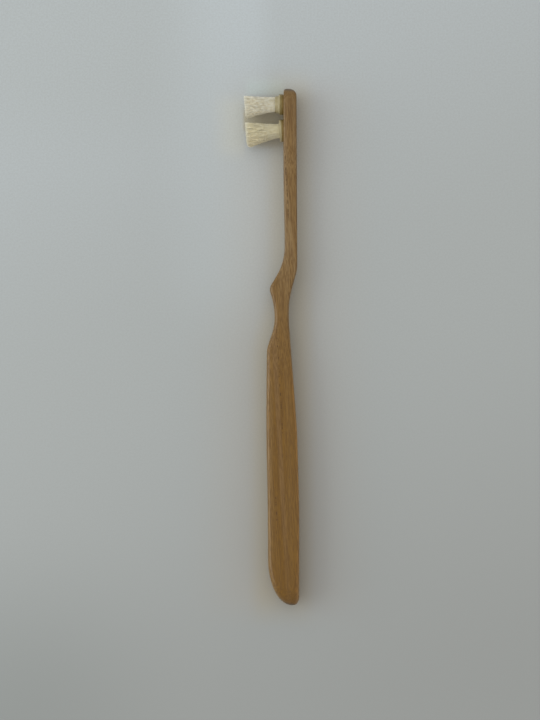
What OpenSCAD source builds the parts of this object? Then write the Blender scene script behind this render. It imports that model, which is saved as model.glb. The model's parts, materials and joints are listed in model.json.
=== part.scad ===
// Wooden toothbrush with two round bristle bundles, lying on the flat side of its grip.
// The head points along +Y, the bristles along -X, and the flat sides face up and down.
// Lengths are in millimetres and angles in degrees.

/* [Handle lengths] */
// End of the head to the place where the front slopes out to the thumb rest
neck_len = 58.5; // [50:0.5:75]
// Length of that slope, down to the peak of the thumb rest
brow_len = 13.5; // [11:0.5:18]
// Peak of the thumb rest to the narrowest place of the waist
waist_in_len = 10.5; // [8:0.5:16]
// Narrowest place of the waist to the front corner of the grip
waist_out_len = 11.1; // [8:0.5:16]
// Front corner of the grip to the end of the tail
grip_len = 92.4; // [70:1:115]
// Distance between the two bends in the back, from the neck's bend to the waist
back_bend_len = 10.2; // [8:0.5:14]
// How much lower the back bends than the front
back_lag = 6.6; // [4:0.1:9]
// Front corner of the grip to the place where its back is full
back_taper_len = 30; // [24:1:44]

/* [Handle thickness, from bristle side to back] */
// Thickness of the head at its end
head_t = 4.7; // [4.5:0.1:6]
// Thickness of the neck
neck_t = 4.45; // [4:0.05:7]
// Reach of the grip's front from the line along its back
grip_t = 12; // [10:0.1:16]
// How much the front is lower at the grip's front corner than at its fullest
corner_drop = 0.3; // [0:0.1:1]
// How much the front is lower at the tail than at the grip's fullest
tail_drop = 0.7; // [0:0.05:1.5]
// Height of the thumb rest over the neck's front
nose_rise = 5.8; // [3:0.1:7]
// Depth of the waist under the grip's front
waist_dip = 2.8; // [1.5:0.05:3.5]
// Depth of the hollow in the back behind the waist
waist_hollow = 3.85; // [1.5:0.05:4.2]
// How far the neck's back lies inside the line along the grip's back
neck_inset = 0.7; // [0:0.05:1.5]
// How far the head's back lies inside that line
head_inset = 1; // [0:0.05:2]

/* [Handle width, between its sides] */
// Width of the head
head_w = 10.8; // [9.6:0.1:12]
// Length of the head at its full width
head_len = 20; // [17:0.5:26]
// Length over which the head narrows to the neck
shoulder_len = 13; // [8:0.5:18]
// Width of the neck
neck_w = 7; // [5.5:0.1:9]
// Width of the thumb rest
nose_w = 8.8; // [7:0.1:11]
// Width of the waist
waist_w = 8.4; // [6.5:0.1:11]
// Distance between the planed flat sides of the grip
grip_w = 12.4; // [10:0.1:16]

/* [Handle rounding] */
// Radius of the long edges along the head and neck
neck_edge_r = 0.8; // [0.4:0.1:1.6]
// Radius of the long edges along the grip
grip_edge_r = 1.5; // [0.8:0.1:2.5]
// Radius of the edges at the end of the tail
tail_edge_r = 3; // [1:0.1:4]
// Wood that the plane takes off each flat side
planed_off = 0.12; // [0.04:0.02:0.3]
// Length of the rounding at the end of the head, seen from the bristle side
head_round_len = 4.6; // [3:0.1:5]
// Length of the small round at the head's front corner
head_front_round = 1.3; // [0.6:0.1:2]
// Length of the round at the head's back corner
head_back_round = 2.6; // [1.5:0.1:3]
// Length of the long slanting round at the tail's front
tail_front_round = 17; // [10:0.5:26]
// Length of the round at the tail's back corner
tail_back_round = 3; // [2:0.1:8]
// Depth of the round at the tail's back corner
tail_back_depth = 2; // [1:0.1:4]
// Length of the rounding of the tail, seen from the bristle side
tail_round_len = 8; // [4:0.5:12]
// Size of the small flat that is left at either end
end_flat = 0.7; // [0.3:0.1:1.2]

/* [Tip bundle] */
// End of the head to the middle of the tip bundle's socket
tip_at = 5.7; // [5.4:0.1:6.4]
// Radius of the tip bundle inside its collar
tip_root_r = 2.75; // [2.3:0.05:2.9]
// Radius of the tip bundle at its trimmed end
tip_fan_r = 4.2; // [3:0.1:4.3]
// Length of the tip bundle beyond its collar
tip_len = 10.9; // [8:0.1:13]
// How much the tip bundle leans towards the grip
tip_lean = 7; // [0:0.5:8]
// Tilt of the tip socket towards the grip
tip_tilt = 0; // [0:0.5:3]
// Thickness of the tip washer at its thinner side
tip_washer_min = 1.25; // [0.4:0.05:1.6]
// Radius of the tip collar's flange
tip_flange_r = 3.7; // [3.5:0.05:4]
// Thickness of the tip collar's flange at its rim
tip_flange_t = 0.2; // [0.15:0.05:0.5]
// Height of the tip collar over its washer
tip_collar_h = 1.8; // [1:0.1:2.4]

/* [Heel bundle] */
// Middle of the tip bundle's socket to the middle of the heel bundle's
bundle_pitch = 9.4; // [9:0.1:11]
// Radius of the heel bundle inside its collar
heel_root_r = 2.55; // [2.3:0.05:2.9]
// Radius of the heel bundle at its trimmed end
heel_fan_r = 4.6; // [3:0.1:4.8]
// Length of the heel bundle beyond its collar
heel_len = 11.7; // [8:0.1:13]
// How much the heel bundle leans towards the grip, over its socket's tilt
heel_lean = 3; // [0:0.5:6]
// Tilt of the heel socket towards the grip
heel_tilt = 4; // [0:0.5:6]
// Thickness of the heel washer at its thinner side
heel_washer_min = 0.45; // [0.3:0.05:1]
// Radius of the heel collar's flange
heel_flange_r = 4.05; // [3.8:0.05:4.2]
// Thickness of the heel collar's flange at its rim
heel_flange_t = 0.6; // [0.3:0.05:0.8]
// Height of the heel collar over its washer
heel_collar_h = 0.85; // [0.6:0.05:1.6]

/* [Collars, washers and sockets] */
// Thickness of a collar's sleeve inside the head
sleeve_wall = 0.4; // [0.3:0.05:0.5]
// Thickness of a collar's lip where the bristles leave it
lip_wall = 0.15; // [0.1:0.05:0.3]
// Depth of a socket in the head
socket_depth = 3.3; // [2.6:0.1:3.5]
// Gap between a collar's sleeve and its socket or washer, all round
sleeve_gap = 0.04; // [0.02:0.01:0.08]
// Gap between a bundle and its collar, all round
bundle_gap = 0.05; // [0.03:0.01:0.1]
// Gap under a collar's sleeve at the bottom of its socket
socket_gap = 0.1; // [0.05:0.05:0.3]
// Height of the set resin in the bottom of a collar
plug_h = 1; // [0.6:0.1:1.4]
// How far a washer's foot is drawn in next to the wood
foot_inset = 0.3; // [0.1:0.05:0.4]
// Height of a washer's foot
foot_h = 0.3; // [0.2:0.05:0.35]

/* [Bristles] */
// Rings of strands in each bundle
strand_rings = 8; // [7:1:8]
// Width of a strand where it leaves the backing
strand_w = 0.28; // [0.2:0.01:0.3]
// Width of a strand at its trimmed end
strand_end_w = 0.26; // [0.15:0.01:0.3]
// Thickness of the slice of resin that carries the strands
slice_t = 0.5; // [0.3:0.1:0.8]
// Angle at which the trimmed ends slant back towards the grip
trim_angle = 4.3; // [0:0.1:8]
// How much shorter the outermost strands on the tip bundle's grip side are
tip_rim_drop = 0.35; // [0:0.05:0.8]
// How much shorter the outermost strands on the heel bundle's grip side are
heel_rim_drop = 1; // [0:0.05:1.5]
// Most that a strand's length differs from its neighbours'
strand_uneven = 0.12; // [0:0.02:0.3]

/* [Hidden] */

wood_colour = [0.68, 0.50, 0.31];
washer_colour = [0.47, 0.40, 0.24];
collar_colour = [0.84, 0.80, 0.64];
plug_colour = [0.72, 0.62, 0.40];
bristle_colour = [0.90, 0.87, 0.77];

// Softness of each corner in the side outline: half the length over which it turns
swell_soft = 14;
neck_soft = 3;
brow_soft = 3;
nose_soft = 1;
chin_soft = 1.6;
dip_soft = 3;
corner_soft = 0.8;
belly_soft = 14;
bend_soft = 1.6;
hollow_soft = 4;
taper_soft = 5;
width_soft = 4;
grip_width_soft = 7;

// Below the thumb rest the front falls steeply for this length and depth, then gently
chin_len = 2.8;
chin_fall = 1;
// Half the length of the waist's flattest stretch
waist_flat = 3;
// The front's first rise above the neck, at the middle of the slope
brow_rise = 1.35;
// Swelling of the neck's front at the middle of the neck
neck_swell = 0.5;
// Depth of the head's small front round
head_front_depth = 1;

// Shares of the stretch that each of these places or depths follows
swell_share = 0.5;
brow_share = 0.45;
hollow_share = 0.93;
belly_share = 0.33;
slim_share = 0.62;
most_edge_share = 0.96;
rim_share = 0.5;

// Places of the side outline's corners, measured from the end of the head
swell_at = neck_len * swell_share;
brow_mid = neck_len + brow_len * brow_share;
nose_at = neck_len + brow_len;
waist_at = nose_at + waist_in_len;
corner_at = waist_at + waist_out_len;
handle_len = corner_at + grip_len;
bend_at = neck_len + back_lag;
hollow_at = bend_at + back_bend_len;
back_full_at = corner_at + back_taper_len;
belly_at = corner_at + grip_len * belly_share;
slim_at = corner_at + grip_len * slim_share;

// Reach of the front from the line along the grip's back, at its corners
neck_reach = neck_inset + neck_t;
nose_reach = neck_reach + nose_rise;
corner_reach = grip_t - corner_drop;
waist_reach = corner_reach - waist_dip;
tail_reach = grip_t - tail_drop;

// Each soft line is a list of [distance from the end of the head, value, softness]
front_line = [
    [0, head_inset + head_t, 0],
    [swell_at, (head_inset + neck_inset) / 2 + neck_t + neck_swell, swell_soft],
    [neck_len, neck_reach, neck_soft],
    [brow_mid, neck_reach + brow_rise, brow_soft],
    [nose_at, nose_reach, nose_soft],
    [nose_at + chin_len, nose_reach - chin_fall, chin_soft],
    [waist_at - waist_flat, waist_reach, dip_soft],
    [waist_at + waist_flat, waist_reach, dip_soft],
    [corner_at, corner_reach, corner_soft],
    [belly_at, grip_t, belly_soft],
    [slim_at, tail_reach, belly_soft],
    [handle_len, tail_reach, 0]
];
back_line = [
    [0, head_inset, 0],
    [bend_at, neck_inset, bend_soft],
    [hollow_at, waist_hollow * hollow_share, hollow_soft],
    [waist_at, waist_hollow, hollow_soft],
    [back_full_at, neck_inset, taper_soft],
    [slim_at, 0, taper_soft],
    [handle_len, 0, 0]
];
width_line = [
    [0, head_w, 0],
    [head_len, head_w, width_soft],
    [head_len + shoulder_len, neck_w, width_soft],
    [neck_len, neck_w, width_soft],
    [nose_at, nose_w, width_soft],
    [waist_at, waist_w, width_soft],
    [corner_at + waist_out_len, grip_w + 2 * planed_off, grip_width_soft],
    [handle_len, grip_w + 2 * planed_off, 0]
];
edge_line = [
    [0, neck_edge_r, 0],
    [neck_len, neck_edge_r, brow_len / 2],
    [corner_at, grip_edge_r, brow_len / 2],
    [handle_len - tail_front_round, grip_edge_r, tail_round_len],
    [handle_len, tail_edge_r, 0]
];

// The sections of the handle: how many in each stretch, and the points round each corner
head_sections = 7;
neck_sections = 15;
bend_sections = 36;
grip_sections = 20;
tail_sections = 14;
corner_steps = 4;

// Places of the pieces in the row's frame
brush_depth = head_inset + head_t + tip_seat() + tip_collar_h + tip_len;
back_x = brush_depth / 2;
head_y = handle_len / 2;
middle_z = grip_w / 2;
round_fn = 96;

// Total of a list of numbers
function total(list) = len(list) == 0 ? 0 : list * [for (one = list) 1];

// Zero before a corner, a straight rise after it, and a parabola between
function ramp(u, soft) = u <= -soft ? 0 : u >= soft ? u : pow(u + soft, 2) / (4 * soft);

function slope(line, i) = (line[i + 1][1] - line[i][1]) / (line[i + 1][0] - line[i][0]);

// Value of a line of straight stretches and soft corners at distance s
function soft_line(line, s) =
    line[0][1] + slope(line, 0) * s
    + total([for (i = [1 : len(line) - 2]) (slope(line, i) - slope(line, i - 1)) * ramp(s - line[i][0], line[i][2])]);

// How far a quarter ellipse of this length and depth has drawn in, at a distance from the end
function drawn_in(distance, length, depth) =
    distance >= length ? 0 : depth * (1 - sqrt(1 - pow(1 - distance / length, 2)));

function front_reach(s) =
    soft_line(front_line, s)
    - drawn_in(s, head_front_round, head_front_depth)
    - drawn_in(handle_len - s, tail_front_round, tail_reach - tail_back_depth - end_flat);

function back_reach(s) =
    soft_line(back_line, s)
    + drawn_in(s, head_back_round, head_t - head_front_depth - end_flat)
    + drawn_in(handle_len - s, tail_back_round, tail_back_depth);

function half_width(s) =
    soft_line(width_line, s) / 2
    - drawn_in(s, head_round_len, (head_w - end_flat) / 2)
    - drawn_in(handle_len - s, tail_round_len, (grip_w - end_flat) / 2);

function edge_radius(s) =
    min(soft_line(edge_line, s), most_edge_share * min((front_reach(s) - back_reach(s)) / 2, half_width(s)));

// Sections crowd towards a rounded end, where t goes from 0 at the end to 1
function crowded(t) = 1 - cos(90 * t);

section_places = concat(
    [for (i = [0 : head_sections - 1]) head_round_len * crowded(i / head_sections)],
    [for (i = [0 : neck_sections - 1]) head_round_len + (neck_len - head_round_len) * i / neck_sections],
    [for (i = [0 : bend_sections - 1]) neck_len + (corner_at + waist_in_len - neck_len) * i / bend_sections],
    [for (i = [0 : grip_sections - 1])
        corner_at + waist_in_len
        + (handle_len - tail_front_round - corner_at - waist_in_len) * i / grip_sections],
    [for (i = [0 : tail_sections]) handle_len - tail_front_round * crowded(1 - i / tail_sections)]
);

// One section: a rectangle with four rounded corners, [reach from the back line, height]
function section(s) =
    let (r = edge_radius(s))
    let (mid = (front_reach(s) + back_reach(s)) / 2)
    let (x = (front_reach(s) - back_reach(s)) / 2 - r)
    let (z = half_width(s) - r)
    [for (corner = [0 : 3], i = [0 : corner_steps])
        let (a = 90 * (corner + i / corner_steps))
        [mid + (corner == 0 || corner == 3 ? x : -x) + r * cos(a), (corner < 2 ? z : -z) + r * sin(a)]];

ring_size = 4 * (corner_steps + 1);

// A solid through rings of points, listed in order and closed by a flat at either end
module loft(rings) {
    n = len(rings[0]);
    last = (len(rings) - 1) * n;
    sides = [for (k = [0 : len(rings) - 2], i = [0 : n - 1])
        let (a = k * n + i)
        let (b = k * n + (i + 1) % n)
        each [[a, b, b + n], [a, b + n, a + n]]];
    ends = [for (i = [1 : n - 2]) each [[0, i + 1, i], [last, last + i, last + i + 1]]];
    polyhedron([for (ring = rings) each ring], concat(sides, ends), convexity = 6);
}

// Thickness of a washer at its middle: its thin side plus the wedge under the tilted flange
function seat(thin, flange_r, tilt) = thin + flange_r * sin(tilt);
function tip_seat() = seat(tip_washer_min, tip_flange_r, tip_tilt);
function heel_seat() = seat(heel_washer_min, heel_flange_r, heel_tilt);

// Puts a piece that is drawn with +Z out of its socket and +X towards the grip in its place
module at_socket(place, tilt) {
    translate([back_x - soft_line(front_line, place), head_y - place, middle_z])
        rotate([0, 0, tilt])
            rotate([90, 0, -90])
                children();
}

module at_tip() {
    at_socket(tip_at, tip_tilt) children();
}

module at_heel() {
    at_socket(tip_at + bundle_pitch, heel_tilt) children();
}

function sleeve_r(root_r) = root_r + bundle_gap + sleeve_wall;

module socket(root_r) {
    translate([0, 0, -socket_depth])
        cylinder(r = sleeve_r(root_r) + sleeve_gap, h = socket_depth + head_t, $fn = round_fn);
}

// One piece of wood, carved to the outline and then planed flat on both sides of the grip
module handle() {
    color(wood_colour)
        difference() {
            intersection() {
                loft([for (s = section_places)
                    [for (p = section(s)) [back_x - p[0], head_y - s, middle_z + p[1]]]]);
                translate([-brush_depth, -handle_len, 0])
                    cube([2 * brush_depth, 2 * handle_len, grip_w]);
            }
            at_tip() socket(tip_root_r);
            at_heel() socket(heel_root_r);
        }
}

// A ring between flange and wood, with its foot drawn in and cut along the face of the head
module washer(root_r, flange_r, seat_t, tilt) {
    inner = sleeve_r(root_r) + sleeve_gap;
    color(washer_colour)
        difference() {
            rotate_extrude($fn = round_fn)
                polygon([[inner, -seat_t], [flange_r, -seat_t], [flange_r, seat_t], [inner, seat_t]]);
            rotate([0, -tilt, 0]) {
                translate([-head_w, -head_w, -head_w])
                    cube([2 * head_w, 2 * head_w, head_w]);
                rotate_extrude($fn = round_fn)
                    translate([flange_r - foot_inset, 0])
                        square([head_w, foot_h]);
            }
        }
}

// Sleeve with a flange, and a hollow-sided skirt that runs up to the lip round the bristles
module collar(root_r, flange_r, flange_t, seat_t, height) {
    bore_r = root_r + bundle_gap;
    lip_r = bore_r + lip_wall;
    skirt_steps = 8;
    skirt = [for (i = [0 : skirt_steps])
        let (a = 90 * i / skirt_steps)
        [flange_r - (flange_r - lip_r) * sin(a), seat_t + height - (height - flange_t) * cos(a)]];
    color(collar_colour)
        rotate_extrude($fn = round_fn)
            polygon(concat(
                [[bore_r, socket_gap - socket_depth], [sleeve_r(root_r), socket_gap - socket_depth]],
                [[sleeve_r(root_r), seat_t], [flange_r, seat_t]],
                skirt,
                [[bore_r, seat_t + height]]
            ));
}

module plug(root_r) {
    color(plug_colour)
        translate([0, 0, socket_gap - socket_depth])
            cylinder(r = root_r, h = plug_h, $fn = round_fn);
}

// Point i of ring k in a round grid that has six points more on every ring
function grid_point(k, i, r) =
    k == 0 ? [0, 0] : let (a = 60 * i / k) r * k / strand_rings * [cos(a), sin(a)];
function grid_index(k, i) = k == 0 ? 0 : 1 + 3 * k * (k - 1) + i % (6 * k);

// The grid's triangles that point outwards carry the strands, and those that point inwards don't
strand_cells = [for (k = [1 : strand_rings], side = [0 : 5], i = [0 : k - 1])
    [[k - 1, side * (k - 1) + i], [k, side * k + i], [k, side * k + i + 1]]];
bare_cells = [for (k = [2 : strand_rings], side = [0 : 5], i = [0 : k - 2])
    [[k - 1, side * (k - 1) + i], [k, side * k + i + 1], [k - 1, side * (k - 1) + i + 1]]];

function middle(corners) = (corners[0] + corners[1] + corners[2]) / 3;

// A repeatable unevenness between -1 and 1
function uneven(i) = sin(i * 137.5) * cos(i * 73.3);

// A bundle of three-sided strands that stand on one slice of resin and fan out from the mouth
// of the collar. The slice's top is at height low, the mouth at mouth, the trimmed end at high.
module tuft(root_r, fan_r, low, mouth, high, lean, trim, rim_drop) {
    pitch = root_r / strand_rings;
    spread = (fan_r - strand_end_w / 2) / root_r;
    shift = (high - mouth) * tan(lean);
    edge_n = 6 * strand_rings;
    grid_n = grid_index(strand_rings, 0) + edge_n;
    grid = concat(
        [[0, 0]],
        [for (k = [1 : strand_rings], i = [0 : 6 * k - 1]) grid_point(k, i, root_r)]
    );
    rim = [for (i = [0 : edge_n - 1]) grid_point(strand_rings, i, root_r)];

    // Three corners at the slice, three at the collar's mouth and three at the trimmed end
    strands = [for (j = [0 : len(strand_cells) - 1])
        let (corners = [for (c = strand_cells[j]) grid_point(c[0], c[1], root_r)])
        let (heart = middle(corners))
        let (fan = heart * spread)
        let (past = max(0, fan[0] / fan_r - rim_share) / (1 - rim_share))
        let (z = high - fan[0] * tan(trim) - rim_drop * past * past + strand_uneven * uneven(j))
        concat(
            [for (c = corners) let (p = heart + (c - heart) * strand_w / pitch) [p[0], p[1], low]],
            [for (c = corners) let (p = heart + (c - heart) * strand_w / pitch) [p[0], p[1], mouth]],
            [for (c = corners) let (p = fan + (c - heart) * strand_end_w / pitch) [p[0] + shift, p[1], z]]
        )];

    points = concat(
        [for (p = grid) [p[0], p[1], low]],
        [for (p = rim) [p[0], p[1], low - slice_t]],
        [[0, 0, low - slice_t]],
        [for (strand = strands) each strand]
    );
    first = grid_n + edge_n + 1;

    // Faces run clockwise as seen from outside
    strand_faces = [for (j = [0 : len(strand_cells) - 1])
        let (b = first + 9 * j)
        let (g = [for (c = strand_cells[j]) grid_index(c[0], c[1])])
        each concat(
            [for (i = [0 : 2]) let (n = (i + 1) % 3) each [[g[i], b + i, g[n]], [g[n], b + i, b + n]]],
            [for (h = [0, 3], i = [0 : 2])
                let (n = (i + 1) % 3)
                each [[b + h + i, b + h + 3 + i, b + h + n], [b + h + n, b + h + 3 + i, b + h + 3 + n]]],
            [[b + 6, b + 8, b + 7]]
        )];
    bare_faces = [for (cell = bare_cells)
        let (g = [for (c = cell) grid_index(c[0], c[1])])
        [g[0], g[2], g[1]]];
    wall_faces = [for (i = [0 : edge_n - 1])
        let (n = (i + 1) % edge_n)
        let (top = grid_n - edge_n)
        each [[top + i, top + n, grid_n + i], [top + n, grid_n + n, grid_n + i]]];
    base_faces = [for (i = [0 : edge_n - 1])
        [grid_n + edge_n, grid_n + i, grid_n + (i + 1) % edge_n]];

    echo(str(len(strand_cells), " strands, least gap at the slice ", pitch - strand_w,
             ", at the trimmed end ", pitch * spread - strand_end_w));
    color(bristle_colour)
        polyhedron(points, concat(strand_faces, bare_faces, wall_faces, base_faces), convexity = 10);
}

module tip_washer() {
    at_tip() washer(tip_root_r, tip_flange_r, tip_seat(), tip_tilt);
}

module tip_collar() {
    at_tip() collar(tip_root_r, tip_flange_r, tip_flange_t, tip_seat(), tip_collar_h);
}

module tip_plug() {
    at_tip() plug(tip_root_r);
}

module tip_tuft() {
    mouth = tip_seat() + tip_collar_h;
    at_tip()
        tuft(tip_root_r, tip_fan_r, slice_top(), mouth, mouth + tip_len,
             tip_lean, trim_angle - tip_tilt, tip_rim_drop);
}

module heel_washer() {
    at_heel() washer(heel_root_r, heel_flange_r, heel_seat(), heel_tilt);
}

module heel_collar() {
    at_heel() collar(heel_root_r, heel_flange_r, heel_flange_t, heel_seat(), heel_collar_h);
}

module heel_plug() {
    at_heel() plug(heel_root_r);
}

module heel_tuft() {
    mouth = heel_seat() + heel_collar_h;
    at_heel()
        tuft(heel_root_r, heel_fan_r, slice_top(), mouth, mouth + heel_len,
             heel_lean, trim_angle - heel_tilt, heel_rim_drop);
}

// Height of the slice's top over the face of the head
function slice_top() = socket_gap - socket_depth + plug_h + slice_t;

handle();
tip_washer();
tip_collar();
tip_plug();
tip_tuft();
heel_washer();
heel_collar();
heel_plug();
heel_tuft();
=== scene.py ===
# %% [markdown]
# # A wooden toothbrush with two round bristle bundles
#
# The real brush is one carved stick of close-grained wood. Its head carries two thick bundles of
# natural bristle, each held in a small pale collar on an olive ring. The brush lies on the flat
# side of its grip, on a plain pale surface, and the photograph looks straight down at it.
#
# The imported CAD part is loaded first. It fixes every size and place, so nothing is fitted by eye
# later: each new piece is drawn in the same frame, in metres.

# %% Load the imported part
import json
import math

import bpy
import numpy as np
from mathutils import Matrix, Vector

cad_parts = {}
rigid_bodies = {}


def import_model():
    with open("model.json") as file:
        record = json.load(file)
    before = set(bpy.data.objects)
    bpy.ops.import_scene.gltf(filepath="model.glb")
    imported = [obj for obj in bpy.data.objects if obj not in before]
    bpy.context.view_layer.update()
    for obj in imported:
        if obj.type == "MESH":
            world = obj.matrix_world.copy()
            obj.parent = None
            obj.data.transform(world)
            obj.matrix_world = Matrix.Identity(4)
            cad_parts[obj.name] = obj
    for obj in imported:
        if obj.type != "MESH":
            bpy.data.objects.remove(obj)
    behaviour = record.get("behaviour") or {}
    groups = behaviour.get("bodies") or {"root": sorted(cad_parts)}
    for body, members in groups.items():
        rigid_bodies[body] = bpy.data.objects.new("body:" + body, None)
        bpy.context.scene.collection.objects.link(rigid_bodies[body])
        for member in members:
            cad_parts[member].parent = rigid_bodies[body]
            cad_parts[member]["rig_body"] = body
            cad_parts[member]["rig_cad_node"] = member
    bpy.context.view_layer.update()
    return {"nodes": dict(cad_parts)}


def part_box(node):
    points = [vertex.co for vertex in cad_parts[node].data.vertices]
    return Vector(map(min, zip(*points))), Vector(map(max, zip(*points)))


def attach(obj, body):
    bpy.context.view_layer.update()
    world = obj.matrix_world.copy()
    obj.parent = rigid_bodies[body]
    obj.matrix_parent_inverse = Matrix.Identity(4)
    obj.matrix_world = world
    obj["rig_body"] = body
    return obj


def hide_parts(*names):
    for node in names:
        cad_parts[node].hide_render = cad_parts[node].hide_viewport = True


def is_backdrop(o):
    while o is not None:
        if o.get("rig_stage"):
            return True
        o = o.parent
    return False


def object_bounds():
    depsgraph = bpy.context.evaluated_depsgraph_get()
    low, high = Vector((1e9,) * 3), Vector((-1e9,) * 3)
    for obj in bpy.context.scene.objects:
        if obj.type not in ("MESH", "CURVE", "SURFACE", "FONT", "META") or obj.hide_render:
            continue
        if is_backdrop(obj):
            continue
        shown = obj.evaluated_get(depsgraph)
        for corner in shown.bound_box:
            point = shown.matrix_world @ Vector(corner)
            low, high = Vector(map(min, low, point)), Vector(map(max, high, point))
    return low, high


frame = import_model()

# %% [markdown]
# ## Small tools
#
# Sizes on a toothbrush are told in millimetres, and Blender's scene is in metres, so one factor
# turns one into the other. An operator acts on everything that is selected, so each step starts
# by selecting nothing. These helpers keep the later cells short.

# %% Tools for modelling
mm = 0.001


def select_nothing():
    """Leaves edit mode and selects nothing."""
    if bpy.context.mode != "OBJECT":
        bpy.ops.object.mode_set(mode="OBJECT")
    bpy.ops.object.select_all(action="DESELECT")


def select_only(piece):
    """Makes one piece the only selected and active one."""
    select_nothing()
    piece.select_set(True)
    bpy.context.view_layer.objects.active = piece


def edit(piece):
    """Opens a piece in edit mode with nothing in it selected."""
    select_only(piece)
    bpy.ops.object.mode_set(mode="EDIT")
    bpy.ops.mesh.select_mode(type="VERT")
    bpy.ops.mesh.select_all(action="DESELECT")


def select_faces(piece, wanted):
    """Selects, in an open piece, the faces for which wanted(middle, normal) is true."""
    bpy.ops.object.mode_set(mode="OBJECT")
    for face in piece.data.polygons:
        face.select = bool(wanted(face.center, face.normal))
    found = sum(face.select for face in piece.data.polygons)
    bpy.ops.object.mode_set(mode="EDIT")
    return found


def apply(piece, kind, **settings):
    """Adds a modifier, sets it and applies it."""
    select_only(piece)
    modifier = piece.modifiers.new(kind.lower(), kind)
    for name, value in settings.items():
        setattr(modifier, name, value)
    bpy.ops.object.modifier_apply(modifier=modifier.name)


def smooth(piece, degrees):
    """Shades a piece smooth, apart from edges that turn by more than an angle."""
    select_only(piece)
    bpy.ops.object.shade_smooth_by_angle(angle=math.radians(degrees))


def triangles(piece):
    """Number of triangles in a piece's mesh."""
    return sum(len(face.vertices) - 2 for face in piece.data.polygons)


def dress(piece, material):
    """Gives a finished piece its material, and prints its triangles."""
    piece.data.materials.clear()
    piece.data.materials.append(material)
    print(piece.name, "has", triangles(piece), "triangles in", material.name)


# %% [markdown]
# Materials are built from nodes. Every pattern reads Object coordinates, which are metres in the
# brush's own frame, so a grain line keeps its place whatever the camera does. One tool adds a
# node and fills its inputs, and a few more are short names for the nodes that are used most.

# %% Tools for materials
def new_material(name, **constants):
    """A material with one Principled shader, whose plain inputs are set by name."""
    material = bpy.data.materials.new(name)
    material.use_nodes = True
    shader = material.node_tree.nodes["Principled BSDF"]
    for key, value in constants.items():
        shader.inputs[key.replace("_", " ")].default_value = value
    return material, material.node_tree, shader


def add(tree, kind, inputs=None, **options):
    """Adds a node. An input is a plain value or another node's output socket."""
    node = tree.nodes.new("ShaderNode" + kind)
    for key, value in options.items():
        setattr(node, key, value)
    for key, value in (inputs or {}).items():
        if isinstance(value, bpy.types.NodeSocket):
            tree.links.new(value, node.inputs[key])
        else:
            node.inputs[key].default_value = value
    return node


def millimetres(tree, scale=(1, 1, 1), turn=(0, 0, 0), shift=(0, 0, 0)):
    """Object coordinates in millimetres, turned, then stretched along each axis."""
    place = add(tree, "TexCoord").outputs["Object"]
    whole = {"Vector": place, "Location": shift, "Rotation": turn, "Scale": (1000, 1000, 1000)}
    turned_place = add(tree, "Mapping", whole).outputs[0]
    return add(tree, "VectorMath", {0: turned_place, 1: scale}, operation="MULTIPLY").outputs[0]


def across_and_along(tree, turn=(0, 0, 0)):
    """Object X and Y in millimetres: the place across the stick, and the place along it."""
    parts = add(tree, "SeparateXYZ", {0: millimetres(tree, turn=turn)}).outputs
    return parts["X"], parts["Y"]


def noise(tree, vector, scale, detail=2.0, roughness=0.5, distortion=0.0):
    """A cloudy pattern between 0 and 1."""
    inputs = {"Vector": vector, "Scale": scale, "Detail": detail,
              "Roughness": roughness, "Distortion": distortion}
    return add(tree, "TexNoise", inputs).outputs[0]


# %% [markdown]
# Most of the looks come from one recipe: a share between 0 and 1 says how much of a second colour
# goes over the first. A share is a place or a pattern, turned into 0 to 1 with soft shoulders, so
# that nothing ends in a hard line, and shares are multiplied where several things have to hold.

# %% Tools for shares and colours
def maths(tree, operation, first, second=0.0):
    """One Math node."""
    return add(tree, "Math", {0: first, 1: second}, operation=operation).outputs[0]


def product(tree, *factors):
    """Several values multiplied."""
    whole = factors[0]
    for factor in factors[1:]:
        whole = maths(tree, "MULTIPLY", whole, factor)
    return whole


def away_from(tree, value, middle):
    """How far a value is from a middle, to either side."""
    return maths(tree, "ABSOLUTE", maths(tree, "SUBTRACT", value, middle))


def between(tree, value, low, high, start=0.0, end=1.0):
    """Turns low..high into start..end with soft shoulders."""
    inputs = {"Value": value, "From Min": low, "From Max": high, "To Min": start, "To Max": end}
    return add(tree, "MapRange", inputs, interpolation_type="SMOOTHSTEP").outputs[0]


def mixed(tree, share, first, second, how="MIX"):
    """A colour between two colours."""
    inputs = {0: share, 6: first, 7: second}
    return add(tree, "Mix", inputs, data_type="RGBA", blend_type=how).outputs[2]


def tinted(tree, share, base, tint):
    """A colour multiplied by a tint, in that share."""
    return mixed(tree, share, base, (*tint, 1.0), "MULTIPLY")


def colour(red, green, blue):
    """An everyday colour, each part from 0 to 255, as the linear values of Blender's sockets."""
    return (*[pow((part / 255 + 0.055) / 1.055, 2.4) if part > 10 else part / 255 / 12.92
              for part in (red, green, blue)], 1.0)


def emboss(tree, shader, height, strength, depth):
    """Lets a pattern raise and sink the surface a little, by its shading."""
    bump = add(tree, "Bump", {"Height": height, "Strength": strength, "Distance": depth * mm})
    tree.links.new(bump.outputs[0], shader.inputs["Normal"])


# %% [markdown]
# ## Camera
#
# The photograph looks straight down, so the camera hangs above the brush and isn't turned. At the
# height of the brush's middle, the picture's long side covers 259 mm. A long lens held at 1.1 m
# keeps the upper rims of the brush from spreading outwards, as they hardly do in the photograph.

# %% Camera
picture_long_side = 259.2 * mm
camera_height = 1100 * mm
middle_height = 7.1 * mm
aim_x, aim_y = -0.73 * mm, -4.7 * mm
bpy.ops.object.camera_add(location=(aim_x, aim_y, middle_height + camera_height))
camera = bpy.context.active_object
camera.name = "straight_down_camera"
camera.data.sensor_width = 36
camera.data.lens = camera.data.sensor_width * camera_height / picture_long_side
camera.data.clip_start, camera.data.clip_end = 10 * mm, 100
bpy.context.scene.camera = camera
print("lens", round(camera.data.lens, 1), "mm")
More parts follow.
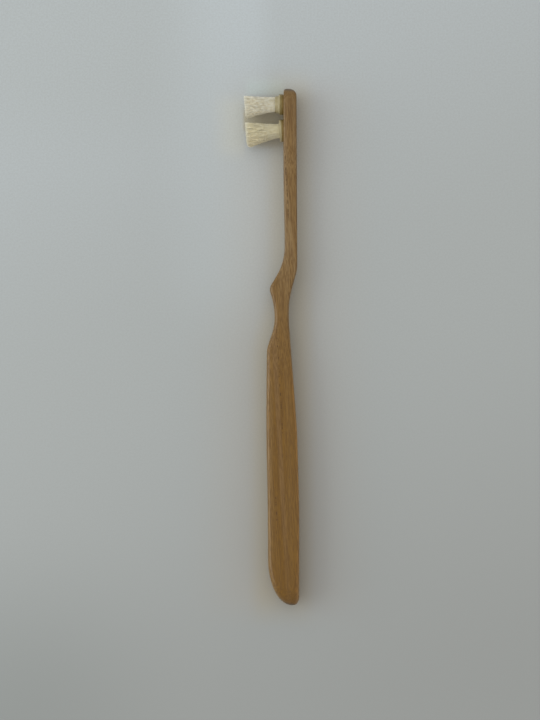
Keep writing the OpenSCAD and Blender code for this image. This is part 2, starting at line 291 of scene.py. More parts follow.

# %% [markdown]
# ## Floor
#
# The floor is a plain pale sheet. Its colour, and not more light, makes it pale, so the wood keeps
# its own colour. In the photograph it turns from a cool pale grey beyond the head to a darker,
# warmer one beyond the tail, a little aslant, so the colour follows the place on the sheet: this
# darkening is painted shade. A faint cloudy pattern keeps it from looking like plastic.

# %% Floor
bpy.ops.mesh.primitive_plane_add(size=12, location=(0, 0, 0))
floor = bpy.context.active_object
floor.name = "floor"
bpy.ops.object.transform_apply(location=True)
paper, tree, shader = new_material("pale_paper", Roughness=0.85)
clouds = noise(tree, millimetres(tree), 1.6, detail=4)
x, y = across_and_along(tree)
slope = maths(tree, "SUBTRACT", y, maths(tree, "MULTIPLY", x, 0.3))
# Painted shade: the paper darker and warmer towards the tail, a little aslant.
shade = mixed(tree, between(tree, slope, -150, 20), colour(154, 156, 153), colour(168, 172, 170))
shade = mixed(tree, between(tree, slope, 0, 150), shade, colour(180, 186, 187))
shade = mixed(tree, between(tree, clouds, 0.3, 0.7, 0, 0.3), shade, colour(158, 159, 156))
floor.data.materials.append(paper)
floor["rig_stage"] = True
print("floor", [round(size, 1) for size in floor.dimensions], "m in", paper.name)

# %% [markdown]
# The paper round the brush gets painted light and painted shade: a painted warm glow beside the
# stick, painted shade close to it, and a brown painted shade in the gap between the bundles. There
# is painted light past the tip bundle, past the cut ends and left of the neck, and painted shade
# in two corners. The soft lamps of this scene give the shadow but hardly these tints, so each of
# these places gets one. A row of the table says where, as a share made from distances in
# millimetres, and by how much the red, green and blue of the paper change there.

# %% Tints of the floor near the brush
left_edge = between(tree, y, -5, 25, -2.1, 4.1)
right_edge = 9.3
left_of_wood = maths(tree, "SUBTRACT", left_edge, x)
right_of_wood = maths(tree, "SUBTRACT", x, right_edge)
aside = maths(tree, "MAXIMUM", left_of_wood, right_of_wood)
beside = between(tree, away_from(tree, y, 0), 104, 88)
wide = product(tree, beside, between(tree, aside, 32, 0))

gap = product(tree, between(tree, x, -11, -9.5), between(tree, away_from(tree, y, 82.3), 6, 2))
below = product(tree, between(tree, x, -9, -4, 0, 0.6),
                between(tree, away_from(tree, y, 75), 4, 1))
under = product(tree, maths(tree, "MAXIMUM", gap, below), between(tree, left_of_wood, -2, -1))
close = product(tree, beside, between(tree, aside, 8, 0), maths(tree, "SUBTRACT", 1, under))

above = product(tree, between(tree, y, 90.5, 92), between(tree, y, 99, 94),
                between(tree, x, -11, -7), between(tree, x, 6, 2))
ahead = product(tree, between(tree, x, -9, -11), between(tree, x, -24, -14),
                between(tree, away_from(tree, y, 80), 14, 6))
beyond = product(tree, between(tree, x, 3, -8), between(tree, x, -48, -16),
                 between(tree, y, -5, 30))
low_left = product(tree, between(tree, x, -20, -95, 0.2, 1), between(tree, y, -60, -130))
top_left = product(tree, between(tree, x, -10, -50), between(tree, y, 60, 100))

# Each row is painted light or painted shade on the paper.
floor_tints = (
    (wide, (1.06, 1.015, 0.99)),                                              # glow of the wood
    (product(tree, wide, between(tree, x, 4, 0)), (0.985, 0.975, 0.955)),     # left half of it
    (close, (1.02, 0.965, 0.86)),                                             # next to the wood
    (under, (0.99, 0.87, 0.655)),                                             # by the bundles
    (above, (1.05, 1.1, 1.08)),                                               # past the tip bundle
    (ahead, (1.09, 1.06, 1.0)),                                               # past the cut ends
    (beyond, (1.06, 1.07, 1.08)),                                             # left of the neck
    (low_left, (0.86, 0.87, 0.865)),                                          # a darker corner
    (top_left, (0.96, 0.955, 0.94)),                                          # and another one
)
for share, tint in floor_tints:
    shade = tinted(tree, share, shade, tint)
tree.links.new(shade, shader.inputs["Base Color"])
print(len(floor_tints), "tints on the floor")

# %% [markdown]
# ## Light
#
# The shadow in the photograph is wide and soft on both sides, only a little darker on the right.
# Two thirds of the light therefore come evenly from all around, which is the world's colour. The
# rest comes from two large soft lamps on the left, like a window: a high one, which is kept out
# of reflections because it would leave a pale patch on the wood, and a low one that brings out
# the rounded left edge. As with a real window, their light is a little cooler than the room's.

# %% Lamps
def soft_lamp(name, place, size, power, mirrored):
    """A square lamp, a little blue, that faces the middle of the brush."""
    bpy.ops.object.light_add(type="AREA", location=place)
    lamp = bpy.context.active_object
    lamp.name = name
    lamp.data.energy = power
    lamp.data.color = (0.85, 0.93, 1.0)
    lamp.data.size = size
    lamp.rotation_euler = (-Vector(place)).to_track_quat("-Z", "Y").to_euler()
    lamp.visible_glossy = mirrored
    print(name, power, "W from", round(Vector(place).length, 2), "m")


soft_lamp("window_lamp", (-0.33, 0.33, 0.99), size=1.4, power=4.6, mirrored=False)
soft_lamp("low_window_lamp", (-0.87, 0.0, 0.5), size=0.8, power=3.4, mirrored=True)

# %% [markdown]
# The world lights the brush with one plain colour, and the camera, reflections and clear pieces
# see the colour of the floor there instead. So nothing bright shows behind the brush from the
# side, and its gloss mirrors a room as pale as the paper.

# %% Surroundings
world = bpy.data.worlds.new("pale_surroundings")
bpy.context.scene.world = world
world.use_nodes = True
tree = world.node_tree
rays = add(tree, "LightPath").outputs
seen = maths(tree, "MAXIMUM", rays["Is Camera Ray"],
             maths(tree, "MAXIMUM", rays["Is Glossy Ray"], rays["Is Transmission Ray"]))
fill = add(tree, "Background", {"Color": (1.0, 0.97, 0.94, 1), "Strength": 0.7})
backdrop = add(tree, "Background", {"Color": colour(170, 172, 169), "Strength": 1.0})
both = add(tree, "MixShader", {0: seen, 1: fill.outputs[0], 2: backdrop.outputs[0]})
tree.links.new(both.outputs[0], tree.nodes["World Output"].inputs["Surface"])
bpy.context.scene.view_settings.view_transform = "Standard"
print("world:", world.name)

# %% [markdown]
# ## Places of the two sockets
#
# Each bundle is drawn with Z out of its socket and X towards the grip, which is how it was turned
# and filled before it went into the head. One matrix then sets it in its place. The height of the
# wood's face comes from the CAD washer, and the heel socket is tilted 4 degrees.

# %% Sockets
head_end = 93 * mm
middle_z = 6.2 * mm
heel_tilt = 4


def socket_frame(washer, distance, tilt):
    """Matrix from a socket's own frame to the brush's frame."""
    face_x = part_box(washer)[1].x
    place = Vector((face_x, head_end - distance, middle_z))
    axes = Matrix(((0, 0, -1, 0), (-1, 0, 0, 0), (0, 1, 0, 0), (0, 0, 0, 1)))
    return Matrix.Translation(place) @ Matrix.Rotation(math.radians(tilt), 4, "Z") @ axes


tip_socket = socket_frame("tip_washer", 5.7 * mm, 0)
heel_socket = socket_frame("heel_washer", 15.1 * mm, heel_tilt)
bores = ((tip_socket, 3.24 * mm), (heel_socket, 3.04 * mm))
for name, (matrix, radius) in zip(("tip", "heel"), bores):
    where = [round(v / mm, 2) for v in matrix.translation]
    print(name, "socket at", where, "mm, radius", radius / mm)

# %% [markdown]
# ## Handle
#
# On the real brush the handle is one stick, shaped with a spokeshave and planed flat on both
# sides, and its two sockets are drilled last. It is made here in the same order. The CAD solid
# already has the outline, but it is a set of flat facets with the sockets in it. A copy of it is
# merged, the sockets are taken out and closed, and flat areas are made whole faces again, because
# a subdivision only rounds a face well if it has no holes.

# %% Handle
select_nothing()
solid = frame["nodes"]["handle"]
solid.select_set(True)
bpy.context.view_layer.objects.active = solid
bpy.ops.object.duplicate()
handle = bpy.context.active_object
handle.name = "handle_wood"
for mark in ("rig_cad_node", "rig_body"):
    if mark in handle:
        del handle[mark]


def in_socket(middle, normal):
    """True for the wall or the bottom of a socket, told by its distance from the socket's axis."""
    for matrix, radius in bores:
        inside = matrix.inverted() @ middle
        near_axis = inside.xy.length < radius + 0.1 * mm
        deep_enough = -3.5 * mm < inside.z < 1 * mm
        on_face = inside.z > -1 * mm and normal.x < -0.98
        if near_axis and deep_enough and not on_face:
            return True
    return False


edit(handle)
bpy.ops.mesh.select_all(action="SELECT")
bpy.ops.mesh.remove_doubles(threshold=0.001 * mm)
bpy.ops.mesh.select_mode(type="FACE")
print("faces of the sockets:", select_faces(handle, in_socket))
bpy.ops.mesh.delete(type="FACE")
bpy.ops.mesh.select_all(action="SELECT")
bpy.ops.mesh.fill_holes(sides=0)
bpy.ops.mesh.select_all(action="SELECT")
bpy.ops.mesh.tris_convert_to_quads(face_threshold=math.radians(8),
                                   shape_threshold=math.radians(60))
bpy.ops.mesh.select_all(action="SELECT")
bpy.ops.mesh.dissolve_limited(angle_limit=math.radians(0.2))

# %% [markdown]
# A plane leaves a crisp rim, and a spokeshave a soft curve. A crease value of 1 keeps an edge
# sharp when the mesh is subdivided, so only the rims of the two large planed faces get it, and
# the subdivision rounds all the rest.

# %% Rims of the planed sides, and rounding
select_nothing()
smallest_flat = 20 * mm * mm
flats = [face for face in handle.data.polygons
         if abs(face.normal.z) > 0.9999 and face.area > smallest_flat]
rims = {tuple(sorted(key)) for face in flats for key in face.edge_keys}
crease = handle.data.attributes.new("crease_edge", "FLOAT", "EDGE")
for edge in handle.data.edges:
    crease.data[edge.index].value = 1.0 if tuple(sorted(edge.vertices)) in rims else 0.0
print("planed sides, mm2:", [round(face.area / mm / mm) for face in flats])
apply(handle, "SUBSURF", levels=2, render_levels=2)

# %% [markdown]
# Each socket is drilled with a plain cylinder as the drill, and a Boolean modifier takes it away.
# Weighted normals then keep the planed sides looking flat up to their rims.

# %% Sockets drilled, and smoothing
drill_length, drill_middle = 6 * mm, -0.3 * mm
for matrix, radius in bores:
    select_nothing()
    bpy.ops.mesh.primitive_cylinder_add(vertices=64, radius=radius, depth=drill_length,
                                        location=(0, 0, drill_middle))
    drill = bpy.context.active_object
    bpy.ops.object.transform_apply(location=True)
    drill.data.transform(matrix)
    apply(handle, "BOOLEAN", operation="DIFFERENCE", object=drill, solver="EXACT")
    bpy.data.objects.remove(drill)
smooth(handle, 28)
apply(handle, "WEIGHTED_NORMAL", mode="FACE_AREA", keep_sharp=True)
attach(handle, "root")
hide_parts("handle")
print("handle:", triangles(handle), "triangles")

# %% [markdown]
# ## Wood
#
# Pear or beech has fine straight fibres, all along the stick and a little aslant to its sides.
# A flat picture of wood would smear on a rounded stick, so the grain is noise in the wood's own
# space, as if the stick were cut out of it. The noise is stretched along Y: 55 times for the long
# fibres and 12 times for short flecks among them. Two wider patterns, streaks and bands, vary the
# tone from place to place.

# %% Grain
wood, tree, shader = new_material("oiled_wood", Specular_IOR_Level=0.5)
slant = (0, 0, math.radians(-3.3))
streaks = noise(tree, millimetres(tree, (1, 0.02, 1), slant), 1.0, detail=4, roughness=0.6)
bands = noise(tree, millimetres(tree, (0.4, 0.02, 0.4), slant, (30, 11, 4)), 1.0, detail=2)
long_fibres = noise(tree, millimetres(tree, (1, 0.018, 1), slant, (7, 3, 9)), 4.2, detail=2)
flecks = noise(tree, millimetres(tree, (1, 0.085, 1), slant, (2, 5, 8)), 4.6, detail=1)
fibres = maths(tree, "ADD", product(tree, long_fibres, 0.62), product(tree, flecks, 0.38))
print("wood:", len(tree.nodes), "nodes for the grain")

# %% [markdown]
# Oil and use have made the grip golden, and deeper towards the tail. The neck and head are a
# duller brown. So there are two colours of wood, which change into each other round the waist.
# The golden one is paler along one grain line, and it has a painted highlight on the narrow sides
# and along the left rim, where the rounded edges catch the light. The brown one turns darker
# towards the end of the head.

# %% Golden grip, brown neck and head
x, y = across_and_along(tree)
across_grain, _ = across_and_along(tree, slant)
normal = add(tree, "SeparateXYZ", {0: add(tree, "TexCoord").outputs["Normal"]}).outputs

golden = mixed(tree, between(tree, streaks, 0.36, 0.64), colour(117, 82, 20), colour(122, 89, 36))
pale_line = between(tree, away_from(tree, across_grain, 0.8), 1.2, 0.3, 0, 0.4)
golden = mixed(tree, pale_line, golden, colour(125, 96, 62))
tail = between(tree, y, -55, -85, 0, 0.5)
golden = mixed(tree, tail, golden, colour(114, 78, 10))
# Painted highlight: paler where the narrow sides and the left rim catch the light.
lit_narrow_sides = between(tree, away_from(tree, normal["X"], 0), 0.25, 0.9, 0, 0.8)
left_rim_highlight = product(tree, between(tree, x, 1.0, -0.8, 0, 0.58), between(tree, y, 0, -25, 0.3, 1))
for share in (lit_narrow_sides, left_rim_highlight):
    golden = mixed(tree, share, golden, colour(138, 108, 62))

brown = mixed(tree, between(tree, bands, 0.4, 0.62), colour(135, 109, 70), colour(129, 100, 56))
head = between(tree, y, 74, 88, 0, 0.5)
brown = mixed(tree, head, brown, colour(118, 92, 54))
base = mixed(tree, between(tree, y, -20, 45), golden, brown)
print("wood:", len(tree.nodes), "nodes with its two colours")

# %% [markdown]
# The narrow side that faces left has painted shade, darker and yellower along the neck, and the
# one that faces right has painted light, paler along the grip. Both are told by the direction that
# the surface faces, which keeps them off the broad sides. The fibres then come over everything as
# darker lines, a little stronger in the neck.

# %% Painted shade and light on the narrow sides, and fibre lines
# Painted shade on the side that faces left, painted light on the side that faces right.
shaded_left_side = product(tree, between(tree, normal["X"], -0.15, -0.7), between(tree, y, 0, 35),
                    between(tree, y, 88, 68, 0.1, 1))
lit_right_side = product(tree, between(tree, normal["X"], 0.15, 0.7), between(tree, y, 10, -20))
base = tinted(tree, shaded_left_side, base, (0.9, 0.88, 0.76))
base = tinted(tree, lit_right_side, base, (1.3, 1.2, 0.95))
line_strength = between(tree, y, -20, 30, 0.62, 0.7)
base = mixed(tree, between(tree, fibres, 0.42, 0.58, 0, line_strength), base, colour(92, 61, 16))
print("wood:", len(tree.nodes), "nodes with its lines")

# %% [markdown]
# A pore is cut lengthwise by the surface, so it shows as a dark dash along the grain. Voronoi
# cells, stretched along Y, give one dash each, and the cell's random colour leaves most of them
# out. Fine ones are all over the stick, and a few long ones lie among them. Three rows of long
# pores stand one behind another on a grain line, where the photograph shows them.

# %% Pores
def dashes(tree, stretch, width, share):
    """Dark dashes: one to a cell, in that share of the cells."""
    cells = add(tree, "TexVoronoi", {"Vector": millimetres(tree, stretch, slant), "Scale": 1.0})
    lot = add(tree, "SeparateColor", {0: cells.outputs["Color"]}).outputs[0]
    chosen = between(tree, lot, 1 - share, 1.05 - share)
    return product(tree, between(tree, cells.outputs["Distance"], width, width * 0.4), chosen)


def pore_row(tree, line, low, high):
    """Long pores, one behind another on a grain line, between two places along the stick."""
    across_grain, _ = across_and_along(tree, slant)
    _, y = across_and_along(tree)
    middle, half = (low + high) / 2, (high - low) / 2
    place = millimetres(tree, (0.1, 0.75, 0.1), slant, (0, 13 * line, 0))
    on_line = between(tree, away_from(tree, across_grain, line), 0.26, 0.08)
    broken = between(tree, noise(tree, place, 1.0, detail=1), 0.5, 0.6)
    reach = between(tree, away_from(tree, y, middle), half, half - 3)
    return product(tree, on_line, broken, reach)


small_pores = dashes(tree, (3.2, 0.5, 3.2), width=0.28, share=0.4)
long_pores = dashes(tree, (0.9, 0.13, 0.9), width=0.13, share=0.16)
pore_rows = ((2.0, -33, 10), (-1.85, -66, -50), (8.6, 45, 72))
for line, low, high in pore_rows:
    long_pores = maths(tree, "MAXIMUM", long_pores, pore_row(tree, line, low, high))
base = mixed(tree, product(tree, small_pores, 0.4), base, colour(78, 54, 24))
base = mixed(tree, product(tree, long_pores, 0.65), base, colour(70, 42, 10))
print("rows of long pores:", len(pore_rows))

# %% [markdown]
# Oil soaks into end grain, so wood that faces along the stick is darker. To carve every fibre and
# pore would take millions of faces for hundredths of a millimetre, so their relief is only bump,
# which ripples the gloss. The roughness follows the fibres too, because oiled wood isn't evenly
# glossy.

# %% End grain, relief and gloss
end_grain = between(tree, away_from(tree, normal["Y"], 0), 0.75, 1.0, 0, 0.7)
base = mixed(tree, end_grain, base, colour(60, 46, 27))
tree.links.new(base, shader.inputs["Base Color"])
relief = maths(tree, "SUBTRACT", product(tree, fibres, 0.6),
               maths(tree, "ADD", small_pores, long_pores))
emboss(tree, shader, relief, strength=0.35, depth=0.05)
tree.links.new(between(tree, fibres, 0.3, 0.7, 0.3, 0.42), shader.inputs["Roughness"])
dress(handle, wood)

# %% [markdown]
# ## Turned pieces
#
# Collars and rings are round, so each is a profile spun about the socket's axis. The profile is
# drawn as by hand: one point is extruded from place to place until it is back where it began.
# The doubles of the seam are merged after the spin, and the normals are then turned outwards.

# %% A tool that turns a profile
spin_steps = 96


def turned(name, profile):
    """A closed profile of (radius, height) points in millimetres, spun about Z."""
    select_nothing()
    bpy.ops.mesh.primitive_plane_add(size=mm, location=(0, 0, 0))
    piece = bpy.context.active_object
    piece.name = name
    bpy.ops.object.mode_set(mode="EDIT")
    bpy.ops.mesh.select_mode(type="VERT")
    bpy.ops.mesh.select_all(action="SELECT")
    bpy.ops.mesh.merge(type="CENTER")
    here = Vector((0, 0, 0))
    for number, (radius, height) in enumerate([*profile, profile[0]]):
        there = Vector((radius, 0, height)) * mm
        if number == 0:
            bpy.ops.transform.translate(value=there - here)
        else:
            step = {"value": there - here}
            bpy.ops.mesh.extrude_region_move(TRANSFORM_OT_translate=step)
        here = there
    bpy.ops.mesh.select_all(action="SELECT")
    bpy.ops.mesh.remove_doubles(threshold=0.001 * mm)
    bpy.ops.mesh.select_all(action="SELECT")
    bpy.ops.mesh.spin(steps=spin_steps, angle=2 * math.pi, center=(0, 0, 0), axis=(0, 0, 1))
    bpy.ops.mesh.select_all(action="SELECT")
    bpy.ops.mesh.remove_doubles(threshold=0.002 * mm)
    bpy.ops.mesh.normals_make_consistent(inside=False)
    bpy.ops.object.mode_set(mode="OBJECT")
    print(name, "turned from", len(profile), "points")
    return piece


def soften(piece, width):
    """A narrow bevel on every edge that turns by more than 50 degrees, and smooth shading."""
    apply(piece, "BEVEL", width=width * mm, segments=2, limit_method="ANGLE",
          angle_limit=math.radians(50))
    smooth(piece, 40)


def seat(piece, matrix, *nodes):
    """Puts a piece from its socket's frame into its place, attaches it to the brush and hides the
    CAD nodes it is drawn for.
    """
    piece.data.transform(matrix)
    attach(piece, "root")
    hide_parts(*nodes)


# %% [markdown]
# ## Collars
#
# A collar is a pale sleeve that grips the bristles. Its lower half is hidden in the head. The tip
# collar's skirt flares like a trumpet, and the heel collar is hardly more than a thin disc. Both
# come from one profile, whose flare is a quarter of an ellipse. A narrow bevel takes the knife
# edge off the lip and the rim.

# %% Collars
sleeve_foot = -3.2  # where the hidden sleeve ends, mm
bore_gap, lip_wall, sleeve_wall = 0.05, 0.2, 0.45  # all beyond the radius of the roots
flare_steps = 14
tip_sizes = {"root_r": 2.75, "flange_r": 3.7, "seat_t": 1.25}
heel_sizes = {"root_r": 2.55, "flange_r": 4.05, "seat_t": 0.7325}
tip_height, heel_height = 1.8, 0.85


def collar_profile(root_r, flange_r, seat_t, flange_t, height):
    """Profile of a collar, from the foot of its bore round the outside and back."""
    bore, lip, sleeve = root_r + bore_gap, root_r + lip_wall, root_r + sleeve_wall
    points = [(bore, sleeve_foot), (sleeve, sleeve_foot), (sleeve, seat_t), (flange_r, seat_t)]
    for step in range(flare_steps + 1):
        turn = math.radians(90 * step / flare_steps)
        points.append((flange_r - (flange_r - lip) * math.sin(turn),
                       seat_t + height - (height - flange_t) * math.cos(turn)))
    return [*points, (bore, seat_t + height)]


tip_profile = collar_profile(**tip_sizes, flange_t=0.2, height=tip_height)
heel_profile = collar_profile(**heel_sizes, flange_t=0.6, height=heel_height)
tip_collar = turned("tip_collar_turned", tip_profile)
heel_collar = turned("heel_collar_turned", heel_profile)
soften(tip_collar, 0.05)
soften(heel_collar, 0.05)
seat(tip_collar, tip_socket, "tip_collar")
seat(heel_collar, heel_socket, "heel_collar")

# %% [markdown]
# The collars look like horn or bone: pale, a little mottled, with faint bands round the axis from
# the turning. The bands are noise squeezed along X, the axis of both. The tip collar is darker
# than the heel's, and one material serves both, because it can tell them apart by their place.

# %% Collar material
horn, tree, shader = new_material("pale_collar", Roughness=0.42, Specular_IOR_Level=0.4)
bands = noise(tree, millimetres(tree, (3.2, 0.1, 0.1)), 1.6, detail=3)
stain = noise(tree, millimetres(tree), 0.8, detail=3)
_, y = across_and_along(tree)
base = mixed(tree, between(tree, bands, 0.35, 0.65), colour(182, 170, 136), colour(156, 144, 110))
base = tinted(tree, between(tree, y, 81.5, 83.5), base, (0.84, 0.83, 0.78))
base = mixed(tree, between(tree, stain, 0.5, 0.75, 0, 0.5), base, colour(142, 128, 90))
tree.links.new(base, shader.inputs["Base Color"])
emboss(tree, shader, bands, strength=0.3, depth=0.04)
dress(tip_collar, horn)
dress(heel_collar, horn)

# %% [markdown]
# ## Rings under the collars
#
# An olive ring lies between each collar and the wood. Its foot is drawn in a little, which leaves
# the dark line next to the head. The heel ring is a wedge, because its socket is tilted: a plain
# ring is cut with a bisect along the face of the head, and the foot is a band of faces extruded
# inwards.

# %% Rings
ring_wall = 0.49  # from the radius of the roots to the ring's bore, mm
foot_depth, foot_height = 0.08, 0.3


def ring(name, root_r, flange_r, seat_t, tilt):
    """A ring, cut along the head's face, with a foot drawn in."""
    inner = root_r + ring_wall
    piece = turned(name, [(inner, -seat_t), (flange_r, -seat_t), (flange_r, seat_t),
                          (inner, seat_t)])
    up = Matrix.Rotation(math.radians(-tilt), 3, "Y") @ Vector((0, 0, 1))
    edit(piece)
    bpy.ops.mesh.select_all(action="SELECT")
    bpy.ops.mesh.bisect(plane_co=(0, 0, 0), plane_no=up, use_fill=True, clear_inner=True)
    bpy.ops.mesh.select_all(action="SELECT")
    bpy.ops.mesh.bisect(plane_co=up * foot_height * mm, plane_no=up)
    bpy.ops.mesh.select_mode(type="FACE")
    found = select_faces(piece, lambda middle, normal: middle.dot(up) < foot_height * mm
                         and normal.xy.dot(middle.xy) > 0 and normal.xy.length > 0.9)
    inwards = {"value": -foot_depth * mm}
    bpy.ops.mesh.extrude_region_shrink_fatten(TRANSFORM_OT_shrink_fatten=inwards)
    bpy.ops.object.mode_set(mode="OBJECT")
    soften(piece, 0.04)
    print(name, "foot faces:", found)
    return piece


tip_ring = ring("tip_ring", **tip_sizes, tilt=0)
heel_ring = ring("heel_ring", **heel_sizes, tilt=heel_tilt)
seat(tip_ring, tip_socket, "tip_washer")
seat(heel_ring, heel_socket, "heel_washer")

# %% [markdown]
# The rings are olive brown and dull, with a soft mottle. As with the collars, the tip's is the
# darker one, and both turn browner next to the wood. One material does it all by place, where two
# would have to be kept alike by hand.

# %% Ring material
olive, tree, shader = new_material("olive_ring", Roughness=0.5, Specular_IOR_Level=0.35)
mottle = noise(tree, millimetres(tree, (1, 0.5, 0.5)), 1.4, detail=4)
x, y = across_and_along(tree)
base = mixed(tree, between(tree, mottle, 0.35, 0.7), colour(140, 124, 80), colour(124, 108, 66))
base = tinted(tree, between(tree, y, 81.5, 83.5), base, (0.9, 0.86, 0.76))
base = mixed(tree, between(tree, x, 3.4, 3.9, 0, 0.6), base, colour(140, 110, 56))
tree.links.new(base, shader.inputs["Base Color"])
emboss(tree, shader, mottle, strength=0.25, depth=0.05)
dress(tip_ring, olive)
dress(heel_ring, olive)

# %% [markdown]
# ## Resin plugs
#
# The roots of the bristles stand in set resin at the bottom of each collar. The plugs are hidden
# and their CAD solids have the right shape, so they stay and only get a material.

# %% Resin
resin, tree, shader = new_material("set_resin", Roughness=0.25)
swirl = noise(tree, millimetres(tree), 0.7, detail=3, distortion=0.8)
amber = mixed(tree, swirl, colour(150, 126, 80), colour(120, 96, 54))
tree.links.new(amber, shader.inputs["Base Color"])
for name in ("tip_plug", "heel_plug"):
    dress(frame["nodes"][name], resin)

# %% [markdown]
# ## One bristle
#
# A bundle holds thousands of bristles. Hair curves would draw them fast, but the pieces have to
# be real meshes here. So one bristle is modelled once, as a thin rod with three sides, bisected
# along its length and narrowed at the cut end, and every bristle in a bundle is a copy of it.

# %% One bristle
bristle_steps = 12
select_nothing()
bpy.ops.mesh.primitive_cylinder_add(vertices=3, radius=0.5, depth=1, location=(0, 0, 0.5))
bristle = bpy.context.active_object
bristle.name = "one_bristle"
bpy.ops.object.transform_apply(location=True)
edit(bristle)
for step in range(1, bristle_steps):
    bpy.ops.mesh.select_all(action="SELECT")
    bpy.ops.mesh.bisect(plane_co=(0, 0, step / bristle_steps), plane_no=(0, 0, 1))
bpy.ops.mesh.select_mode(type="FACE")
select_faces(bristle, lambda middle, normal: normal.z > 0.9)
bpy.ops.transform.resize(value=(0.7, 0.7, 1))
select_nothing()
rod = np.array([vertex.co for vertex in bristle.data.vertices])
rod_faces = [list(face.vertices) for face in bristle.data.polygons]
bpy.data.objects.remove(bristle)
print("one bristle:", len(rod), "points,", len(rod_faces), "faces")

# %% [markdown]
# ## Where each bristle starts and ends
#
# The roots are packed evenly in a round bore, as the seeds of a sunflower are: each is turned from
# the last by the golden angle. Natural bristle sticks together in clumps, so each hair's free end
# is drawn towards the middle of its clump, with a little chance, and none passes the fan's edge.
# The ends are cut aslant, and lower towards the grip, where the cut is rounded.

# %% Roots, clumps and cut ends
bristle_count = 2700
clump_count = 110
golden_angle = 2.399963
root_reach = 0.97  # share of the bore's radius that the outermost roots reach
own_stray = 0.1  # how far chance carries one free end aside, mm
clump_stray = 0.07  # and how far it carries a whole clump
rounded_from = 0.5  # share of the fan's radius where the rounding of the cut starts


def on_disc(count):
    """Evenly packed points on a disc of radius 1."""
    number = np.arange(count)
    angle, radius = number * golden_angle, np.sqrt((number + 0.5) / count)
    return np.stack([np.cos(angle), np.sin(angle)], 1) * radius[:, None]


def fanned(random, root, clump, mine, fan_r):
    """Where each free end is across the bundle: drawn to its clump, and inside the fan."""
    pull = random.uniform(0.05, 0.3, clump_count)[mine][:, None]
    spread = (root + (clump[mine] - root) * pull) * fan_r
    spread = (spread + random.normal(0, own_stray, root.shape)
              + random.normal(0, clump_stray, clump.shape)[mine])
    over = np.maximum(np.linalg.norm(spread, axis=1) / fan_r, 1)
    return spread / over[:, None]


def cut(random, spread, mine, fan_r, high, trim, rim_drop):
    """How high each bristle is cut."""
    towards_grip = np.maximum(0, spread[:, 0] / fan_r - rounded_from) / (1 - rounded_from)
    slope = math.tan(math.radians(trim))
    top = high - spread[:, 0] * slope - rim_drop * towards_grip ** 2
    top += random.uniform(-0.12, 0.08, bristle_count)
    return top + random.normal(0, 0.05, clump_count)[mine]


print(bristle_count, "bristles in", clump_count, "clumps")

# %% [markdown]
# ## The line of each bristle
#
# A bristle is never quite straight, so each is waved twice, once wide and once narrow, and it
# shares most of that wave with the neighbours in its clump. A plain random bend for each hair
# would look like fur, and no clump would show.

# %% Waves
wide_wave = ((0.8, 1.6), 0.12, 0.08)  # turns in a hair's length, swing of a clump, own swing
narrow_wave = ((2.4, 3.6), 0.05, 0.05)


def waved(random, mine, shown, out):
    """How far its waves carry each point of each bristle aside."""
    aside = 0
    for turns_range, clump_swing, own_swing in (wide_wave, narrow_wave):
        turns = random.uniform(*turns_range, clump_count)[mine]
        turns = turns * random.uniform(0.9, 1.1, bristle_count)
        start = random.uniform(0, 1, clump_count)[mine] + random.normal(0, 0.06, bristle_count)
        wave = np.sin(2 * np.pi * (shown * turns[:, None] + start[:, None]))
        swing = (random.normal(0, clump_swing, (clump_count, 1, 2))[mine]
                 + random.normal(0, own_swing, (bristle_count, 1, 2)))
        aside = aside + wave[..., None] * swing * np.minimum(out * 2, 1)[..., None]
    return aside


print("waves in a bristle's length:", wide_wave[0], "and", narrow_wave[0])

# %% [markdown]
# All the bristles of a bundle become one mesh, because thousands of objects would be slow to
# handle. Copies are placed in code, as nobody would place thousands by hand. Two numbers are kept
# with the points for the material: a tone of the bristle's own, and how far along it a point is.

# %% Copies of the bristle in one mesh
def bristle_mesh(name, points, tone, along):
    """One piece of many bristles, from the points of all their rods, in metres."""
    faces = [[corner + len(rod) * number for corner in face]
             for number in range(bristle_count) for face in rod_faces]
    mesh = bpy.data.meshes.new(name)
    mesh.from_pydata(points.tolist(), [], faces)
    for key, values in (("tone", tone), ("along", along)):
        attribute = mesh.attributes.new(key, "FLOAT", "POINT")
        attribute.data.foreach_set("value", values.astype(np.float32))
    piece = bpy.data.objects.new(name, mesh)
    bpy.context.scene.collection.objects.link(piece)
    smooth(piece, 60)
    print(name, bristle_count, "bristles,", round(np.ptp(points[:, 2]) / mm, 1), "mm long")
    return piece


# %% [markdown]
# A bristle runs straight through its collar, then bends outwards to its free end, slowly at first.
# The first step of its rod is the hidden root, and the other eleven are left for what shows, where
# the bends are.

# %% A bundle of bristles
bundle_foot = -1.7
bristle_width = 0.14
bend = 1.35


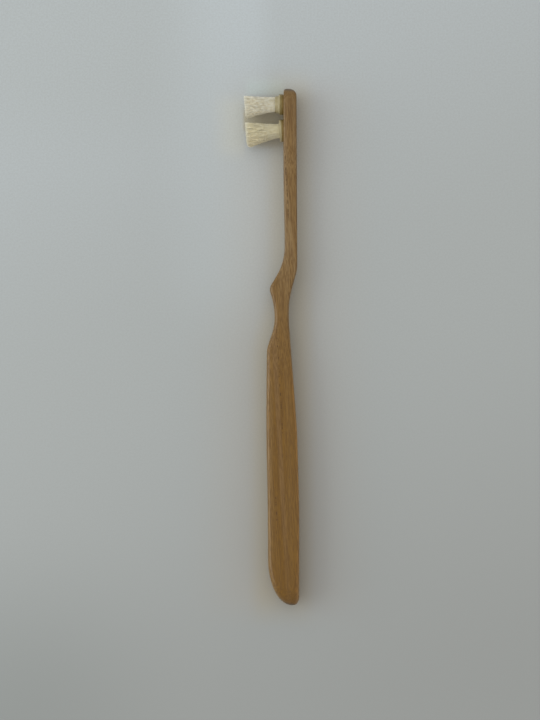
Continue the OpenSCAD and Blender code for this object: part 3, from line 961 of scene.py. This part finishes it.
def bundle(name, seed, root_r, fan_r, mouth, high, lean, trim, rim_drop):
    """A fanned bundle in its socket's frame, in millimetres, made into a mesh in metres."""
    random = np.random.default_rng(seed)
    root = on_disc(bristle_count) * root_reach
    root = root + random.normal(0, 0.008, root.shape)
    clump = on_disc(clump_count)
    clump = clump + random.normal(0, 0.03, clump.shape)
    mine = np.argmin(((root[:, None] - clump[None]) ** 2).sum(2), 1)
    spread = fanned(random, root, clump, mine, fan_r)
    top = cut(random, spread, mine, fan_r, high, trim, rim_drop)

    share = rod[:, 2][None]
    hidden = np.minimum(share * bristle_steps, 1)
    shown = np.clip((share * bristle_steps - 1) / (bristle_steps - 1), 0, 1)
    height = bundle_foot + (mouth - bundle_foot) * hidden + (top[:, None] - mouth) * shown
    out = np.clip((height - mouth) / (high - mouth), 0, None) ** bend
    tips = spread + np.array([(high - mouth) * math.tan(math.radians(lean)), 0])
    centre = (root * root_r)[:, None] * (1 - out[..., None]) + tips[:, None] * out[..., None]
    centre = centre + waved(random, mine, shown, out)
    thick = bristle_width * random.uniform(0.8, 1.15, bristle_count)[:, None, None]
    points = np.concatenate([centre + rod[None, :, :2] * thick, height[..., None]], 2)
    tone = random.uniform(0, 1, bristle_count) * 0.6
    tone = tone + random.uniform(0, 1, clump_count)[mine] * 0.4
    return bristle_mesh(name, points.reshape(-1, 3) * mm,
                        tone=np.repeat(tone, len(rod)), along=out.reshape(-1))


# %% [markdown]
# The tip bundle leans more towards the grip and its cut is slanted, and the heel bundle fans more
# widely. Each seed is a choice of chance, which gives the same bundle each time.

# %% Two bundles
tip_bristles = bundle("tip_bristles", seed=5, root_r=2.7, fan_r=4.2,
                      mouth=tip_sizes["seat_t"] + tip_height, high=13.84,
                      lean=5.9, trim=4.3, rim_drop=0.8)
heel_bristles = bundle("heel_bristles", seed=11, root_r=2.55, fan_r=4.72,
                       mouth=heel_sizes["seat_t"] + heel_height, high=13.46,
                       lean=3.7, trim=0.3, rim_drop=1.0)
seat(tip_bristles, tip_socket, "tip_tuft")
seat(heel_bristles, heel_socket, "heel_tuft")

# %% [markdown]
# ## Bristle material
#
# Natural bristle is cream, and no two hairs have the same tone, which is the number kept with each
# bristle. The heel bundle is a little yellower than the tip's. Both get painted shade on the side
# towards the grip, most of all at the heel's root. Along a bristle, which the other number tells,
# the root is yellower, and the outer half and most of all the cut end are painted paler: painted
# light that lifts the shade between the fanned hairs.

# %% Bristle material
hair, tree, shader = new_material("natural_bristle", Roughness=0.55, Specular_IOR_Level=0.3)
tone = add(tree, "Attribute", attribute_name="tone").outputs["Fac"]
along = add(tree, "Attribute", attribute_name="along").outputs["Fac"]
blotches = noise(tree, millimetres(tree), 1.1, detail=3)
x, y = across_and_along(tree)
base = mixed(tree, tone, colour(213, 208, 188), colour(238, 235, 221))
base = mixed(tree, between(tree, blotches, 0.4, 0.66, 0, 0.5), base, colour(204, 192, 160))
base = mixed(tree, between(tree, y, 81.6, 80.6, 0, 0.4), base, colour(222, 212, 170))

# Painted shade: darker on the side of each bundle towards the grip, and at the heel's root.
tip_shaded_low = product(tree, between(tree, y, 86.2, 83.4, 0, 0.5), between(tree, y, 81.6, 82.4))
shaded_low_side = maths(tree, "MAXIMUM", between(tree, y, 78, 73.5), tip_shaded_low)
base = mixed(tree, product(tree, shaded_low_side, 0.3), base, colour(200, 186, 148))
shaded_heel_root = product(tree, between(tree, x, -3, -0.6), between(tree, y, 77.4, 75.4))
base = tinted(tree, shaded_heel_root, base, (0.84, 0.84, 0.84))

# Painted light: the outer half and the cut ends paler.
base = tinted(tree, between(tree, along, 0.3, 0.8), base, (1.11, 1.11, 1.11))
base = mixed(tree, between(tree, along, 0.85, 1.02, 0, 0.5), base, colour(250, 249, 238))
base = mixed(tree, between(tree, along, 0.1, 0.0, 0, 0.2), base, colour(190, 176, 136))
tree.links.new(base, shader.inputs["Base Color"])
dress(tip_bristles, hair)
dress(heel_bristles, hair)

# %% [markdown]
# ## Sizes at the end
#
# The box of all that shows is printed at the end, in millimetres.

# %% Sizes, and the end
low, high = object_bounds()
print("visual box, mm:", [round(1000 * size, 2) for size in high - low])
